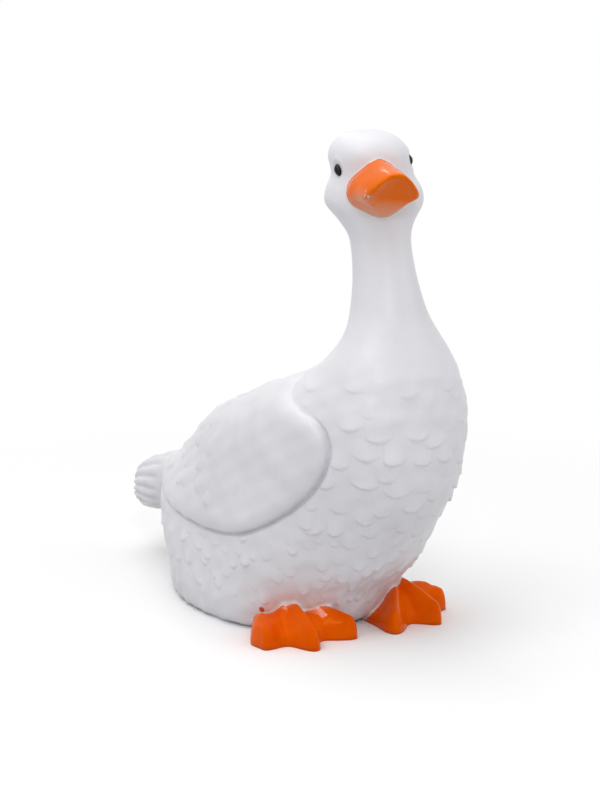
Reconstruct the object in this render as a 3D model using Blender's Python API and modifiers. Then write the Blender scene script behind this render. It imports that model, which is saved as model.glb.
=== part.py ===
"""Garden statue of a sitting duck: one casting, painted white with an orange bill and feet.

Metres, +Z up. The duck faces -Y, sits on z = 0 and looks a little to its own right (-X).
Shapes are worked out as (across, ahead, height), where ahead runs towards the breast.
"""
import math

import bmesh
import bpy
import numpy as np

# Overall sizes
HEIGHT = 0.310
LENGTH = 0.300
WIDTH = 0.140

# Paint
WHITE = (0.80, 0.80, 0.82)
WHITE_ROUGHNESS = 0.35

# Fineness of the casting
SHELL_GRAIN = 0.0014
SHELL_SMOOTHING = 4
TRIANGLES_KEPT = 11750
BASE_SINK = 0.006

# Body, neck and head, from the floor up: height, centre ahead, reach to the front,
# reach to the back, half width, squareness in front, squareness behind, share of the head's turn
BODY_SECTIONS = (
    (-0.006, 0.008, 0.056, 0.071, 0.0500, 2.2, 2.2, 0),
    (0.000, 0.008, 0.062, 0.081, 0.0580, 2.2, 2.2, 0),
    (0.006, 0.012, 0.069, 0.089, 0.0630, 2.2, 2.2, 0),
    (0.024, 0.022, 0.068, 0.105, 0.0650, 2.2, 2.2, 0),
    (0.045, 0.033, 0.078, 0.128, 0.0655, 2.2, 2.2, 0),
    (0.070, 0.043, 0.085, 0.140, 0.0645, 2.2, 2.1, 0),
    (0.095, 0.055, 0.090, 0.122, 0.0628, 2.2, 2, 0),
    (0.120, 0.066, 0.084, 0.101, 0.0620, 2.4, 2, 0),
    (0.137, 0.077, 0.073, 0.073, 0.0600, 2.5, 2, 0),
    (0.147, 0.084, 0.066, 0.060, 0.0575, 2.5, 2, 0),
    (0.157, 0.094, 0.055, 0.048, 0.0520, 2.4, 2, 0),
    (0.169, 0.106, 0.041, 0.039, 0.0450, 2.3, 2, 0),
    (0.181, 0.111, 0.0315, 0.030, 0.0378, 2.2, 2, 0),
    (0.192, 0.1115, 0.0265, 0.0240, 0.0302, 2.1, 2, 0),
    (0.205, 0.1095, 0.0235, 0.0225, 0.0235, 2, 2, 0),
    (0.225, 0.106, 0.0200, 0.0205, 0.0190, 2, 2, 0.2),
    (0.245, 0.101, 0.0200, 0.0200, 0.0182, 2, 2, 0.6),
    (0.256, 0.097, 0.0220, 0.0225, 0.0225, 2, 2, 1),
    (0.267, 0.095, 0.0235, 0.0265, 0.0299, 2, 2.1, 1),
    (0.276, 0.0955, 0.0220, 0.0290, 0.0290, 2, 2.1, 1),
    (0.284, 0.095, 0.0225, 0.0295, 0.0248, 2, 2.1, 1),
    (0.294, 0.092, 0.0250, 0.0255, 0.0245, 2.1, 2.1, 1),
)
ROWS_PER_SPAN = 8
BODY_RING = 144
CROWN_ROWS = 10
CROWN_FLATNESS = 0.82

# Head: how far it turns and leans to the duck's right, and where its own centre stands
HEAD_TURN = math.radians(26)
HEAD_LEAN = math.radians(4.5)
HEAD_CENTRE = (0.001, 0.095)
LEAN_GROWS = (0.235, 0.278)
LEAN_PIVOT = 0.268

# Bill, in the head's own frame, from the chin up:
# height, half width at the root, half width at the rim, reach at the rim, reach in the middle
BILL_SECTIONS = (
    (0.2620, 0.0042, 0.0015, 0.0290, 0.0290),
    (0.2635, 0.0090, 0.0040, 0.0305, 0.0310),
    (0.2670, 0.0146, 0.0072, 0.0350, 0.0345),
    (0.2710, 0.0188, 0.0118, 0.0395, 0.0380),
    (0.2745, 0.0206, 0.0172, 0.0430, 0.0405),
    (0.2780, 0.0205, 0.0163, 0.0480, 0.0440),
    (0.2820, 0.0188, 0.0132, 0.0525, 0.0485),
    (0.2860, 0.0149, 0.0097, 0.0560, 0.0530),
    (0.2893, 0.0107, 0.0060, 0.0578, 0.0575),
    (0.2911, 0.0084, 0.0040, 0.0550, 0.0570),
    (0.2928, 0.0062, 0.0030, 0.0420, 0.0440),
    (0.2941, 0.0041, 0.0022, 0.0300, 0.0315),
    (0.2952, 0.0020, 0.0012, 0.0235, 0.0240),
)
BILL_ROOT = 0.010
BILL_SKEW, BILL_SKEW_END = 0.04, 0.065
RIM_BEVEL = 0.0025
RIM_ROUND = 0.0002
BILL_RING = 64
# Shares of a bill section's half width and of its depth
ROOT_SHARE, WIDEST_SHARE, TAPER_SHARE, RIM_SHARE = 0.82, 0.35, 0.70, 0.92

# Eyes, in the head's own frame
EYES = {-1: (-0.0228, 0.0072, 0.2880), 1: (0.0216, 0.0060, 0.2925)}
EYE_HALVES = (0.0028, 0.0024, 0.0040)
EYE_RING = 16
EYE_ROWS = 9
EYE_TILT = 80

# Tail: distance ahead, height, half width, half height
TAIL_SECTIONS = (
    (-0.060, 0.064, 0.026, 0.022),
    (-0.095, 0.0585, 0.023, 0.0205),
    (-0.120, 0.0520, 0.0195, 0.0190),
    (-0.137, 0.0475, 0.0150, 0.0170),
    (-0.146, 0.0455, 0.0090, 0.0130),
    (-0.149, 0.0445, 0.003, 0.006),
)
TAIL_RING = 72
TAIL_SQUARENESS = 2.3

# Feet: middle of each foot, its outline as (degrees from across, reach), its three toe ridges
# from the belly to the tip in the foot's own frame, heights
RIGHT_FOOT = (0.0405, 0.0635)
LEFT_FOOT = (0.0365, 0.0730)
FOOT_OUTLINE = (
    (-60, 0.0220),
    (-25, 0.0245),
    (-8, 0.0275),
    (6, 0.0330),
    (20, 0.0352),
    (28, 0.0374),
    (34, 0.0345),
    (42, 0.0290),
    (50, 0.0270),
    (58, 0.0285),
    (67, 0.0342),
    (73, 0.0386),
    (78, 0.0398),
    (83, 0.0374),
    (91, 0.0305),
    (100, 0.0270),
    (109, 0.0290),
    (117, 0.0370),
    (123, 0.0432),
    (128, 0.0446),
    (134, 0.0415),
    (150, 0.0300),
    (180, 0.0240),
    (240, 0.0220),
    (300, 0.0220),
)
TOES = (
    ((0.0220, -0.0050), (0.0330, 0.0176)),
    ((0.0050, 0.0075), (0.0083, 0.0389)),
    ((-0.0075, 0.0150), (-0.0275, 0.0351)),
)
TOE_HALF = 0.0098
TOE_RISE = 0.0076
FOOT_EDGE = 0.0076
FOOT_TOP = 0.0188
FOOT_RING = 120
# From the floor up and in: share of the outline, share of the height
FOOT_SIDE = ((1.0, 0.0), (0.995, 0.3), (0.975, 0.65), (0.94, 0.92), (0.90, 1.0))
FOOT_INWARD = (0.80, 0.70, 0.60, 0.50, 0.40, 0.30, 0.20, 0.08)

# Wings: raised edge of the folded wing seen from the side, as (ahead, height)
WING_EDGE = (
    (0.064, 0.174),
    (0.074, 0.160),
    (0.085, 0.1525),
    (0.096, 0.1485),
    (0.107, 0.1455),
    (0.1145, 0.1385),
    (0.117, 0.1290),
    (0.1145, 0.1180),
    (0.107, 0.1055),
    (0.097, 0.0950),
    (0.084, 0.0845),
    (0.066, 0.0735),
    (0.044, 0.0645),
    (0.018, 0.0603),
    (-0.010, 0.0600),
    (-0.040, 0.0620),
    (-0.070, 0.0670),
    (-0.105, 0.0760),
)
WING_RISE = 0.0050
WING_ROUND = 0.0095
WING_GROOVE = 0.0022
GROOVE_WIDTH = 0.0022
WING_REAR_SHARE = 0.3
RELIEF_FLOOR = 0.004

# Where the wing's relief grows or dies away, each as (none, full)
WING_SPINE = (0.004, 0.026)
WING_FLOOR = (0.020, 0.040)
WING_SHOULDER = (0.172, 0.142)
WING_GROOVE_TOP = (0.150, 0.135)
WING_TAIL = (-0.115, -0.085)
WING_FULL = (-0.100, -0.010)

# Feathers of breast and flanks: rows of overlapping tongues, wound round an upright axis
FEATHER_PITCH = 0.0178
FEATHER_ROW = 0.0112
FEATHER_RISE = 0.0027
STEP_WIDTH = 0.0018
FEATHER_TOP = 0.170
FEATHER_AXIS = 0.045
FEATHER_RADIUS = 0.085
ROW_WAVE = 0.0016
WAVE_LENGTH = 0.067
FAINT_SHARE = 0.40
TONGUE_HALF = 0.46
TONGUE_DEPTH = 0.75
TONGUE_LENGTH = 1.2
TONGUE_SLOPE = 1.3
UNEVEN_ACROSS, UNEVEN_DOWN, UNEVEN_WIDTH, UNEVEN_RISE = 0.26, 0.42, 0.09, 0.47
SCRAMBLE = (12.9898, 78.233, 43758.5453)
FEATHERS_GROW = (0.000, 0.008)
FEATHERS_STRONG = (0.010, 0.050)
FEATHERS_OFF_WING = (0.001, 0.004)
FEATHERS_OFF_TAIL = (-0.115, -0.050)

# Smaller rough tufts on the belly
TUFT_PITCH = 0.0150
TUFT_ROW = 0.0100
TUFT_RISE = 0.0019
TUFTS_FROM = (0.078, 0.056)
TUFTS_END = (0.010, 0.020)

# Feathers on the rear of the wings, running back and down
WING_FEATHER = 0.0175
WING_FEATHER_RISE = 0.0017
WING_FEATHER_SLANT = math.radians(24)
WING_FEATHERS = (0.050, -0.020)

# Ridges along the upper side of the tail
TAIL_RIDGES = 24
RIDGE_RISE = 0.0010
RIDGE_AXIS = 0.040
RIDGES_TOP = (0.034, 0.042)
RIDGES_FROM = (0.102, 0.114)


def eased(value, none, full):
    """Ease from 0 at none to 1 at full."""
    t = np.clip((value - none) / (full - none), 0, 1)
    return t * t * (3 - 2 * t)


def spline(rows, steps):
    """Points of a Catmull-Rom curve through rows, steps to each span."""
    rows = np.array(rows, float)
    padded = np.vstack([2 * rows[0] - rows[1], rows, 2 * rows[-1] - rows[-2]])
    made = []
    for a, b, c, d in zip(padded, padded[1:], padded[2:], padded[3:]):
        for t in np.arange(steps) / steps:
            square, cube = 2 * a - 5 * b + 4 * c - d, 3 * b - a - 3 * c + d
            made.append(0.5 * (2 * b + (c - a) * t + square * t**2 + cube * t**3))
    made.append(rows[-1])
    return np.array(made)


def turned(points, angle):
    """Turn (across, ahead) pairs to the duck's right."""
    across, ahead = points[..., 0], points[..., 1]
    c, s = math.cos(angle), math.sin(angle)
    return np.stack([across * c - ahead * s, across * s + ahead * c], -1)


def placed_on_head(points):
    """Carry rings from the head's own frame to the statue's."""
    return np.dstack([turned(points[..., :2], HEAD_TURN) + HEAD_CENTRE, points[..., 2]])


def leaned(points):
    """Lean everything above the throat towards the duck's right."""
    points = points.copy()
    height = points[..., 2]
    points[..., 0] -= eased(height, *LEAN_GROWS) * (height - LEAN_PIVOT) * math.tan(HEAD_LEAN)
    return points


def solid(name, rings):
    """Closed solid through rings of equal length, each end closed to its middle."""
    rows, count = rings.shape[:2]
    points = [tuple(p) for p in rings.reshape(-1, 3)] + [tuple(rings[0].mean(0)), tuple(rings[-1].mean(0))]
    faces = []
    for row in range(rows - 1):
        for k in range(count):
            n = (k + 1) % count
            low, high = row * count, (row + 1) * count
            faces.append((low + k, low + n, high + n, high + k))
    for k in range(count):
        n = (k + 1) % count
        faces.append((n, k, rows * count))
        faces.append(((rows - 1) * count + k, (rows - 1) * count + n, rows * count + 1))
    mesh = bpy.data.meshes.new(name)
    mesh.from_pydata([(across, -ahead, height) for across, ahead, height in points], [], faces)
    bm = bmesh.new()
    bm.from_mesh(mesh)
    bmesh.ops.recalc_face_normals(bm, faces=bm.faces[:])
    bm.to_mesh(mesh)
    bm.free()
    made = bpy.data.objects.new(name, mesh)
    bpy.context.scene.collection.objects.link(made)
    return made


def oval(angles, square):
    """Rounded-square unit ring."""
    c, s = np.cos(angles), np.sin(angles)
    return np.sign(c) * np.abs(c) ** (2 / square), np.sign(s) * np.abs(s) ** (2 / square)


def body():
    rows = spline(BODY_SECTIONS, ROWS_PER_SPAN)
    last = rows[-1]
    for k in range(1, CROWN_ROWS):
        lift = math.sin(math.pi / 2 * k / CROWN_ROWS)
        shrink = math.cos(math.pi / 2 * k / CROWN_ROWS) ** CROWN_FLATNESS
        row = last.copy()
        row[0] = last[0] + (HEIGHT - last[0]) * lift
        row[2:5] = last[2:5] * shrink
        rows = np.vstack([rows, row])
    angles = np.arange(BODY_RING) * 2 * math.pi / BODY_RING
    rings = []
    for height, middle, front, back, half, square_front, square_back, turn in rows:
        x, y = oval(angles, np.where(np.sin(angles) > 0, square_front, square_back))
        flat = turned(np.column_stack([half * x, np.where(y > 0, front, back) * y]), HEAD_TURN * turn)
        centre = np.array([HEAD_CENTRE[0] * turn, middle])
        rings.append(np.column_stack([flat + centre, np.full(BODY_RING, height)]))
    return solid("body", leaned(np.array(rings)))


def bill():
    rings = []
    for height, root, rim, reach, middle in spline(BILL_SECTIONS, 3):
        flank = reach - BILL_ROOT
        half = np.array(
            [
                (0, BILL_ROOT),
                (root * ROOT_SHARE, BILL_ROOT),
                (root, BILL_ROOT + WIDEST_SHARE * flank),
                ((root + rim) / 2, BILL_ROOT + TAPER_SHARE * flank),
                (rim, reach - RIM_BEVEL),
                (rim * RIM_SHARE, reach - RIM_ROUND),
                (rim / 2, (reach + 2 * middle) / 3),
                (0, middle),
            ]
        )
        left = half[1:-1][::-1] * (-1, 1)
        outline = np.vstack([half, left])
        steps = np.linspace(0, len(outline), BILL_RING, endpoint=False)
        whole = np.vstack([outline, outline[:1]])
        ring = np.column_stack([np.interp(steps, range(len(whole)), whole[:, k]) for k in (0, 1)])
        ring[:, 0] -= BILL_SKEW * (BILL_SKEW_END - ring[:, 1])
        rings.append(np.column_stack([ring, np.full(BILL_RING, height)]))
    return solid("bill", leaned(placed_on_head(np.array(rings))))


def eye(side):
    centre, turns, rings = np.array(EYES[side]), np.arange(EYE_RING) * 2 * math.pi / EYE_RING, []
    for tilt in np.radians(np.linspace(-EYE_TILT, EYE_TILT, EYE_ROWS)):
        level = np.full(EYE_RING, math.sin(tilt))
        unit = np.column_stack([math.cos(tilt) * np.cos(turns), math.cos(tilt) * np.sin(turns), level])
        rings.append(centre + unit * EYE_HALVES)
    return solid("eye", leaned(placed_on_head(np.array(rings))))


def tail():
    angles = np.arange(TAIL_RING) * 2 * math.pi / TAIL_RING
    rings = []
    for ahead, height, half_width, half_height in spline(TAIL_SECTIONS, 6):
        x, y = oval(angles, TAIL_SQUARENESS)
        rings.append(np.column_stack([half_width * x, np.full(TAIL_RING, ahead), height + half_height * y]))
    return solid("tail", np.array(rings))


def distance_to_run(points, start, end):
    """Distance from flat points to the straight run from start to end."""
    start, way = np.array(start), np.array(end) - start
    t = np.clip(((points - start) @ way) / (way @ way), 0, 1)
    return np.linalg.norm(points - start - t[:, None] * way, axis=1)


def foot(side):
    angles = np.arange(FOOT_RING) * 2 * math.pi / FOOT_RING + math.radians(FOOT_OUTLINE[0][0])
    table = spline(FOOT_OUTLINE, 6)
    reach = np.interp(np.degrees(angles), table[:, 0], table[:, 1])
    outline = np.column_stack([np.cos(angles), np.sin(angles)]) * reach[:, None]
    middle = np.array(LEFT_FOOT if side > 0 else RIGHT_FOOT)
    rim = FOOT_SIDE[-1][0]
    rings = []
    for share, lift in FOOT_SIDE + tuple((share, 1.0) for share in FOOT_INWARD):
        flat = outline * share
        ridge = np.max([np.clip(1 - distance_to_run(flat, *toe) / TOE_HALF, 0, 1) for toe in TOES], 0)
        inward = max(0, 1 - share / rim) / (1 - FOOT_INWARD[-2] / rim)
        top = FOOT_EDGE + (FOOT_TOP - FOOT_EDGE) * min(inward, 1) + TOE_RISE * ridge
        height = top * lift if lift else np.full(FOOT_RING, -BASE_SINK)
        rings.append(np.column_stack([(middle + flat) * (side, 1), height]))
    return solid("foot", np.array(rings))


def noise(number, salt):
    """Repeatable unevenness between -1 and 1."""
    value = np.sin(number * SCRAMBLE[0] + salt * SCRAMBLE[1]) * SCRAMBLE[2]
    return 2 * (value - np.floor(value)) - 1


def feathers(across, down, pitch, row_height):
    """Height, 0 to 1, of overlapping tongues whose tips point down."""
    result = np.zeros_like(across)
    for above in (2, 1, 0, -1):
        row = np.floor(down / row_height) - above
        shift = 0.5 * np.mod(row, 2)
        column = np.floor(across / pitch - shift + 0.5)
        code = row * 37 + column
        middle = (column + shift + UNEVEN_ACROSS * noise(code, 1)) * pitch
        tip = (row + 2 + UNEVEN_DOWN * noise(code, 2)) * row_height
        half = pitch * (TONGUE_HALF + UNEVEN_WIDTH * noise(code, 3))
        side = np.clip((across - middle) / half, -1, 1)
        inward = tip - row_height * TONGUE_DEPTH * (1 - np.sqrt(1 - side**2)) - down
        rising = np.clip(1 - inward / (TONGUE_LENGTH * row_height), 0, 1) ** TONGUE_SLOPE
        full = 1 - UNEVEN_RISE * (1 - noise(code, 4))
        lift = rising * full * (1 - side**2) ** 2 * eased(inward, 0, STEP_WIDTH)
        result = np.maximum(result, lift)
    return result


def inside_distance(points, line):
    """Signed distance to the wing's edge in side view, positive on the wing."""
    behind, above = -LENGTH, HEIGHT
    loop = np.vstack([line, [(behind, line[-1][1]), (behind, above), (line[0][0], above)]])
    inside = np.zeros(len(points), bool)
    nearest = np.full(len(points), LENGTH)
    for k, (a, b) in enumerate(zip(loop, np.roll(loop, -1, 0))):
        if a[1] != b[1]:
            between = (a[1] > points[:, 1]) != (b[1] > points[:, 1])
            crossing = a[0] + (b[0] - a[0]) * (points[:, 1] - a[1]) / (b[1] - a[1])
            inside ^= between & (points[:, 0] < crossing)
        if k < len(line) - 1:
            nearest = np.minimum(nearest, distance_to_run(points, a, b))
    return np.where(inside, nearest, -nearest)


def wing_relief(points, wing):
    """Raised plate of the folded wing with a groove round it, and feathers on its rear."""
    across, ahead, height = points.T
    flank = eased(np.abs(across), *WING_SPINE) * eased(height, *WING_FLOOR)
    flank = flank * eased(height, *WING_SHOULDER) * eased(ahead, *WING_TAIL)
    plate = np.sqrt(1 - (1 - np.clip(wing / WING_ROUND, 0, 1)) ** 2)
    groove = np.exp(-((wing / GROOVE_WIDTH) ** 2)) * (wing < 0) * eased(height, *WING_GROOVE_TOP)
    fullness = WING_REAR_SHARE + (1 - WING_REAR_SHARE) * eased(ahead, *WING_FULL)
    c, s = math.cos(WING_FEATHER_SLANT), math.sin(WING_FEATHER_SLANT)
    down = -ahead * c - height * s
    girth = height * c - ahead * s + WIDTH / 2 - np.abs(across)
    rear = eased(wing, 0.5 * WING_ROUND, 1.5 * WING_ROUND) * eased(ahead, *WING_FEATHERS)
    tongues = WING_FEATHER_RISE * feathers(girth, down, WING_FEATHER, WING_FEATHER)
    return flank * (fullness * (WING_RISE * plate - WING_GROOVE * groove) + rear * tongues)


def breast_relief(points, wing):
    """Feathers of breast and flanks, faint at the top, and smaller tufts on the belly."""
    across, ahead, height = points.T
    around = np.arctan2(across, ahead - FEATHER_AXIS) * FEATHER_RADIUS
    fall = FEATHER_TOP - height
    down = fall + ROW_WAVE * np.sin(around * 2 * math.pi / WAVE_LENGTH)
    strength = FAINT_SHARE + (1 - FAINT_SHARE) * eased(fall, *FEATHERS_STRONG)
    tufted = eased(height, *TUFTS_FROM)
    large = (1 - tufted) * strength * eased(fall, *FEATHERS_GROW)
    made = FEATHER_RISE * large * feathers(around, down, FEATHER_PITCH, FEATHER_ROW)
    small = tufted * eased(height, *TUFTS_END)
    made = made + TUFT_RISE * small * feathers(around, down, TUFT_PITCH, TUFT_ROW)
    return made * eased(-wing, *FEATHERS_OFF_WING) * eased(ahead, *FEATHERS_OFF_TAIL)


def tail_relief(points):
    """Ridges running the length of the tail."""
    across, ahead, height = points.T
    turn = np.arctan2(across, height - RIDGE_AXIS)
    ridge = 2 * np.abs(np.sin(turn * TAIL_RIDGES / 2))
    return RIDGE_RISE * ridge * eased(height, *RIDGES_TOP) * eased(-ahead, *RIDGES_FROM)


def relief(points):
    """How far the surface stands out at each point (across, ahead, height)."""
    wing = inside_distance(points[:, 1:], spline(WING_EDGE, 6))
    shapes = wing_relief(points, wing) + breast_relief(points, wing) + tail_relief(points)
    return shapes * eased(points[:, 2], 0, RELIEF_FLOOR)


def joined(pieces):
    base = pieces[0]
    bm = bmesh.new()
    for piece in pieces:
        bm.from_mesh(piece.data)
    bm.to_mesh(base.data)
    bm.free()
    for piece in pieces[1:]:
        bpy.data.objects.remove(piece)
    return base


def applied(target, kind, **settings):
    """Add a modifier, keep its result as the mesh."""
    modifier = target.modifiers.new(kind.lower(), kind)
    for key, value in settings.items():
        setattr(modifier, key, value)
    graph = bpy.context.evaluated_depsgraph_get()
    mesh = bpy.data.meshes.new_from_object(target.evaluated_get(graph))
    target.modifiers.clear()
    target.data = mesh


def carve(target):
    """Push every point out by the relief."""
    mesh = target.data
    count = len(mesh.vertices)
    points = np.empty(count * 3)
    normals = np.empty(count * 3)
    mesh.vertices.foreach_get("co", points)
    mesh.vertex_normals.foreach_get("vector", normals)
    points, normals = points.reshape(-1, 3), normals.reshape(-1, 3)
    points += normals * relief(points * (1, -1, 1))[:, None]
    mesh.vertices.foreach_set("co", points.ravel())
    mesh.update()


def flat_base(target):
    """Cut the casting off level with the floor and stand it in the middle."""
    bm = bmesh.new()
    bm.from_mesh(target.data)
    whole = bm.verts[:] + bm.edges[:] + bm.faces[:]
    level = {"plane_co": (0, 0, 0), "plane_no": (0, 0, 1)}
    bmesh.ops.bisect_plane(bm, geom=whole, dist=1e-6, clear_inner=True, **level)
    rim = [edge for edge in bm.edges if edge.is_boundary]
    bmesh.ops.triangle_fill(bm, edges=rim, use_beauty=True)
    bmesh.ops.triangulate(bm, faces=bm.faces[:])
    bmesh.ops.recalc_face_normals(bm, faces=bm.faces[:])
    bm.to_mesh(target.data)
    bm.free()


def fitted(target):
    """Scale to the overall sizes, with the origin under the middle of the box."""
    mesh = target.data
    points = np.empty(len(mesh.vertices) * 3)
    mesh.vertices.foreach_get("co", points)
    points = points.reshape(-1, 3)
    low, high = points.min(0), points.max(0)
    size = np.array([WIDTH, LENGTH, HEIGHT])
    points = (points - [(low[0] + high[0]) / 2, (low[1] + high[1]) / 2, low[2]]) * size / (high - low)
    mesh.vertices.foreach_set("co", points.ravel())
    mesh.update()


def painted(target, name, colour, roughness):
    material = bpy.data.materials.new(name)
    material.use_nodes = True
    shader = material.node_tree.nodes["Principled BSDF"]
    shader.inputs["Base Color"].default_value = (*colour, 1)
    shader.inputs["Roughness"].default_value = roughness
    shader.inputs["Metallic"].default_value = 0
    target.data.materials.clear()
    target.data.materials.append(material)


def main():
    for old in list(bpy.data.objects):
        bpy.data.objects.remove(old)
    duck = joined([body(), bill(), tail(), foot(-1), foot(1), eye(-1), eye(1)])
    duck.name = "duck_statue"
    applied(duck, "REMESH", mode="VOXEL", voxel_size=SHELL_GRAIN)
    applied(duck, "SMOOTH", factor=0.5, iterations=SHELL_SMOOTHING)
    carve(duck)
    applied(duck, "TRIANGULATE")
    applied(duck, "DECIMATE", ratio=TRIANGLES_KEPT / len(duck.data.polygons))
    flat_base(duck)
    fitted(duck)
    duck.data.shade_smooth()
    painted(duck, "white_paint", WHITE, WHITE_ROUGHNESS)
    group = bpy.data.collections.new("duck_garden_statue")
    bpy.context.scene.collection.children.link(group)
    group.objects.link(duck)
    bpy.context.scene.collection.objects.unlink(duck)


main()
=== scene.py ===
"""Looks of the duck garden statue: one casting with white body paint, orange bill and feet and black eyes.

Metres, +Z up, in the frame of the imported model. The duck faces -Y and looks a little to its own right (-X).
Shapes are worked out as (across, ahead, height), where ahead runs towards the breast.
"""
import math

import bmesh
import bpy
import numpy as np
from mathutils import Matrix, Vector
from mathutils.bvhtree import BVHTree


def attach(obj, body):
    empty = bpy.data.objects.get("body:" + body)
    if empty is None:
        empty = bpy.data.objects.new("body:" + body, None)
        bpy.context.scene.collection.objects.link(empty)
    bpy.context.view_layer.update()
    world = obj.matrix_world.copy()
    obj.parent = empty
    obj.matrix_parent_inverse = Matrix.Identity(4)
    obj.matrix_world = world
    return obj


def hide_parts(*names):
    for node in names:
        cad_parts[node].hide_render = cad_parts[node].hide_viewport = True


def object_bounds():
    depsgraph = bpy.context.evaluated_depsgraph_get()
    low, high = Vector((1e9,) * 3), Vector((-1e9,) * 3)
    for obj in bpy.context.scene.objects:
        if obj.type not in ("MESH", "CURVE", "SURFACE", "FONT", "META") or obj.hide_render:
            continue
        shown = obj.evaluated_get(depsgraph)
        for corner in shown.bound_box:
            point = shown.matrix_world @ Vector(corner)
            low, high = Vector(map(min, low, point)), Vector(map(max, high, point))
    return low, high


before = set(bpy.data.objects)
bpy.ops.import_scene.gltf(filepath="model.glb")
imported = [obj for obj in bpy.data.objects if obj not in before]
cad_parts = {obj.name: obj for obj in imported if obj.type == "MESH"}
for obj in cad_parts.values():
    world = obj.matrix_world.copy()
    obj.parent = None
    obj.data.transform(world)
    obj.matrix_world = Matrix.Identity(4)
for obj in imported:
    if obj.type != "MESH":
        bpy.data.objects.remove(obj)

CAD_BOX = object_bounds()

# Overall sizes
HEIGHT = 0.310
LENGTH = 0.300
WIDTH = 0.140

# Fineness of the casting
SHELL_GRAIN = 0.0009
SHELL_SMOOTHING = 6
TRIANGLES_KEPT = 190000
BASE_SINK = 0.006


# Body, neck and head, from the floor up: height, centre ahead, reach to the front,
# reach to the back, half width, squareness in front, squareness behind, share of the head's turn
BODY_SECTIONS = (
    (-0.006, 0.008, 0.056, 0.071, 0.0500, 2.2, 2.2, 0),
    (0.000, 0.008, 0.062, 0.081, 0.0580, 2.2, 2.2, 0),
    (0.006, 0.012, 0.069, 0.089, 0.0630, 2.2, 2.2, 0),
    (0.024, 0.022, 0.068, 0.105, 0.0650, 2.2, 2.2, 0),
    (0.045, 0.033, 0.078, 0.128, 0.0655, 2.2, 2.2, 0),
    (0.070, 0.043, 0.085, 0.140, 0.0645, 2.2, 2.1, 0),
    (0.095, 0.055, 0.090, 0.122, 0.0628, 2.2, 2, 0),
    (0.120, 0.066, 0.084, 0.101, 0.0620, 2.4, 2, 0),
    (0.137, 0.077, 0.073, 0.073, 0.0600, 2.5, 2, 0),
    (0.147, 0.084, 0.066, 0.060, 0.0575, 2.5, 2, 0),
    (0.157, 0.094, 0.055, 0.048, 0.0520, 2.4, 2, 0),
    (0.169, 0.106, 0.041, 0.039, 0.0450, 2.3, 2, 0),
    (0.181, 0.111, 0.0315, 0.030, 0.0378, 2.2, 2, 0),
    (0.192, 0.1115, 0.0265, 0.0240, 0.0302, 2.1, 2, 0),
    (0.205, 0.1095, 0.0235, 0.0225, 0.0235, 2, 2, 0),
    (0.225, 0.106, 0.0200, 0.0205, 0.0190, 2, 2, 0.2),
    (0.245, 0.101, 0.0200, 0.0200, 0.0182, 2, 2, 0.6),
    (0.256, 0.097, 0.0220, 0.0225, 0.0225, 2, 2, 1),
    (0.267, 0.095, 0.0235, 0.0265, 0.0299, 2, 2.1, 1),
    (0.276, 0.0955, 0.0220, 0.0290, 0.0290, 2, 2.1, 1),
    (0.284, 0.095, 0.0225, 0.0295, 0.0248, 2, 2.1, 1),
    (0.294, 0.092, 0.0250, 0.0255, 0.0245, 2.1, 2.1, 1),
)
ROWS_PER_SPAN = 8
BODY_RING = 144
CROWN_ROWS = 10
CROWN_FLATNESS = 0.82

# Head: how far it turns and leans to the duck's right, and where its own centre stands
HEAD_TURN = math.radians(26)
HEAD_LEAN = math.radians(4.5)
HEAD_CENTRE = (0.001, 0.095)
LEAN_GROWS = (0.235, 0.278)
LEAN_PIVOT = 0.268

# Bill, in the head's own frame, from the chin up:
# height, half width at the root, half width at the rim, reach at the rim, reach in the middle
BILL_SECTIONS = (
    (0.2620, 0.0042, 0.0015, 0.0290, 0.0290),
    (0.2635, 0.0090, 0.0040, 0.0305, 0.0310),
    (0.2670, 0.0146, 0.0072, 0.0350, 0.0345),
    (0.2710, 0.0188, 0.0118, 0.0395, 0.0380),
    (0.2745, 0.0206, 0.0172, 0.0430, 0.0405),
    (0.2780, 0.0205, 0.0163, 0.0480, 0.0440),
    (0.2820, 0.0188, 0.0132, 0.0525, 0.0485),
    (0.2860, 0.0149, 0.0097, 0.0560, 0.0530),
    (0.2893, 0.0107, 0.0060, 0.0578, 0.0575),
    (0.2911, 0.0084, 0.0040, 0.0550, 0.0570),
    (0.2928, 0.0062, 0.0030, 0.0420, 0.0440),
    (0.2941, 0.0041, 0.0022, 0.0300, 0.0315),
    (0.2952, 0.0020, 0.0012, 0.0235, 0.0240),
)
BILL_ROOT = 0.010
BILL_SKEW, BILL_SKEW_END = 0.04, 0.065
RIM_BEVEL = 0.0025
RIM_ROUND = 0.0002
BILL_RING = 64
# Shares of a bill section's half width and of its depth
ROOT_SHARE, WIDEST_SHARE, TAPER_SHARE, RIM_SHARE = 0.82, 0.35, 0.70, 0.92

# Tail: distance ahead, height, half width, half height
TAIL_SECTIONS = (
    (-0.060, 0.064, 0.026, 0.022),
    (-0.095, 0.0585, 0.023, 0.0205),
    (-0.120, 0.0520, 0.0195, 0.0190),
    (-0.137, 0.0475, 0.0150, 0.0170),
    (-0.146, 0.0455, 0.0090, 0.0130),
    (-0.149, 0.0445, 0.003, 0.006),
)
TAIL_RING = 72
TAIL_SQUARENESS = 2.3

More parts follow.
